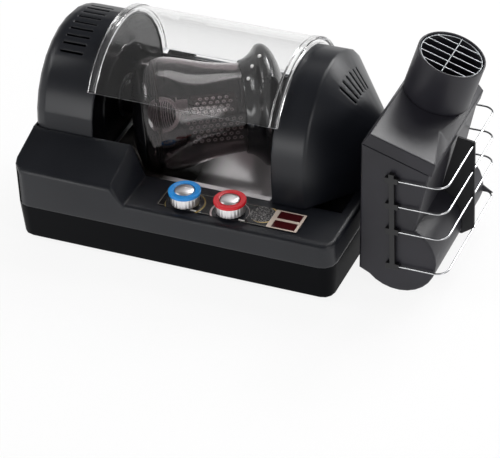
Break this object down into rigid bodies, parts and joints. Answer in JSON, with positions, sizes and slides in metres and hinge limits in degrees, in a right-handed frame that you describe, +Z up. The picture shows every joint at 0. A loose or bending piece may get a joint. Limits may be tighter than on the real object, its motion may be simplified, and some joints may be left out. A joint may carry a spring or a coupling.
{
  "type": "home coffee bean roaster",
  "caption": "Countertop coffee bean roaster with a tilted glass drum on a level axis, a rear-hinged clear cover, a dial console and a chaff collector with a wire guard and an exhaust pipe.",
  "frame": {"origin": "middle of the whole object at the table", "axes": "+X along the body from the drive end to the chaff collector, +Y from the console to the back, +Z up"},
  "size_m": [0.4968, 0.263, 0.2513],
  "materials": {
    "charcoal": "satin",
    "dark_plastic": "satin",
    "gloss_black": "gloss",
    "stainless": "brushed",
    "chrome_wire": "polished",
    "clear_plastic": "clear",
    "drum_glass": "smoked",
    "rubber": "matte",
    "white_plastic": "gloss",
    "blue_plastic": "gloss",
    "red_plastic": "gloss",
    "maroon_window": "gloss",
    "circuit_board": "matte",
    "nylon": "matte",
    "ceramic": "matte",
    "plain_steel": "satin"
  },
  "bodies": {
    "machine": {"lower_base": "dark_plastic", "cord_gland": "rubber", "foot_front_left": "rubber", "foot_rear_left": "rubber", "foot_front_right": "rubber", "foot_rear_right": "rubber", "upper_shell": "charcoal", "left_housing": "charcoal", "right_housing": "charcoal", "left_bulkhead": "gloss_black", "right_bulkhead": "gloss_black", "left_bearing": "nylon", "right_bearing": "nylon", "rear_panel": "gloss_black", "hinge_pin": "plain_steel", "bay_tray": "stainless", "console_plate": "gloss_black", "time_display": "maroon_window", "temperature_display": "maroon_window", "control_board": "circuit_board", "gear_motor": "plain_steel", "motor_bracket": "plain_steel", "heater_duct": "plain_steel", "heater_core": "ceramic", "blower_housing": "dark_plastic", "blower_motor": "plain_steel", "exhaust_duct": "dark_plastic"},
    "drum": {"glass_tube": "drum_glass", "left_cap": "gloss_black", "right_cap": "gloss_black", "inlet_plate": "stainless", "outlet_plate": "stainless", "inlet_strainer": "stainless", "stirring_vane": "stainless", "drive_gear": "nylon"},
    "pinion": {"motor_pinion": "plain_steel"},
    "fan": {"blower_impeller": "nylon"},
    "cover": {"clear_cover": "clear_plastic", "cover_knuckle_left": "gloss_black", "cover_knuckle_right": "gloss_black"},
    "time_shaft": {"time_spindle": "plain_steel"},
    "time_dial": {"time_knob": "white_plastic", "time_knob_ring": "blue_plastic"},
    "temperature_shaft": {"temperature_spindle": "plain_steel"},
    "temperature_dial": {"temperature_knob": "white_plastic", "temperature_knob_ring": "red_plastic"},
    "collector": {"collector_body": "charcoal", "collector_fin": "dark_plastic", "wire_retainer_front": "dark_plastic", "wire_retainer_rear": "dark_plastic", "guard_wire_1": "chrome_wire", "guard_wire_2": "chrome_wire", "guard_wire_3": "chrome_wire", "guard_wire_4": "chrome_wire", "chaff_screen": "stainless"},
    "collector_top": {"collector_lid": "charcoal", "exhaust_pipe": "charcoal", "pipe_grille": "plain_steel"}
  },
  "joints": [
    {"name": "drum_spin", "type": "hinge", "parent": "machine", "child": "drum", "pos_m": [-0.07444, 0.02453, 0.113], "axis": [1, 0, 0], "continuous": true},
    {"name": "pinion_spin", "type": "hinge", "parent": "machine", "child": "pinion", "pos_m": [-0.19244, -0.02048, 0.113], "axis": [1, 0, 0], "continuous": true},
    {"name": "fan_spin", "type": "hinge", "parent": "machine", "child": "fan", "pos_m": [-0.21844, 0.07652, 0.042], "axis": [1, 0, 0], "continuous": true},
    {"name": "cover_hinge", "type": "hinge", "parent": "machine", "child": "cover", "pos_m": [-0.06844, 0.12727, 0.11154], "axis": [-1, 0, 0], "range_deg": [0, 95]},
    {"name": "time_dial_turn", "type": "hinge", "parent": "machine", "child": "time_shaft", "pos_m": [-0.04844, -0.10497, 0.08], "axis": [0, 0, 1], "continuous": true},
    {"name": "time_dial_push", "type": "slide", "parent": "time_shaft", "child": "time_dial", "axis": [0, 0, -1], "range_m": [0, 0.0012], "stiffness_N_per_m": 800, "springref_m": -0.002},
    {"name": "temperature_dial_turn", "type": "hinge", "parent": "machine", "child": "temperature_shaft", "pos_m": [0.00556, -0.10497, 0.08], "axis": [0, 0, 1], "continuous": true},
    {"name": "temperature_dial_push", "type": "slide", "parent": "temperature_shaft", "child": "temperature_dial", "axis": [0, 0, -1], "range_m": [0, 0.0012], "stiffness_N_per_m": 800, "springref_m": -0.002},
    {"name": "collector_slide", "type": "slide", "parent": "machine", "child": "collector", "axis": [1, 0, 0], "range_m": [0, 0.05]},
    {"name": "collector_lid_lift", "type": "slide", "parent": "collector", "child": "collector_top", "axis": [0.3123, 0, 0.95], "range_m": [0, 0.06]}
  ],
  "couplings": [
    {"joint": "pinion_spin", "follows": "drum_spin", "ratio": -4}
  ]
}
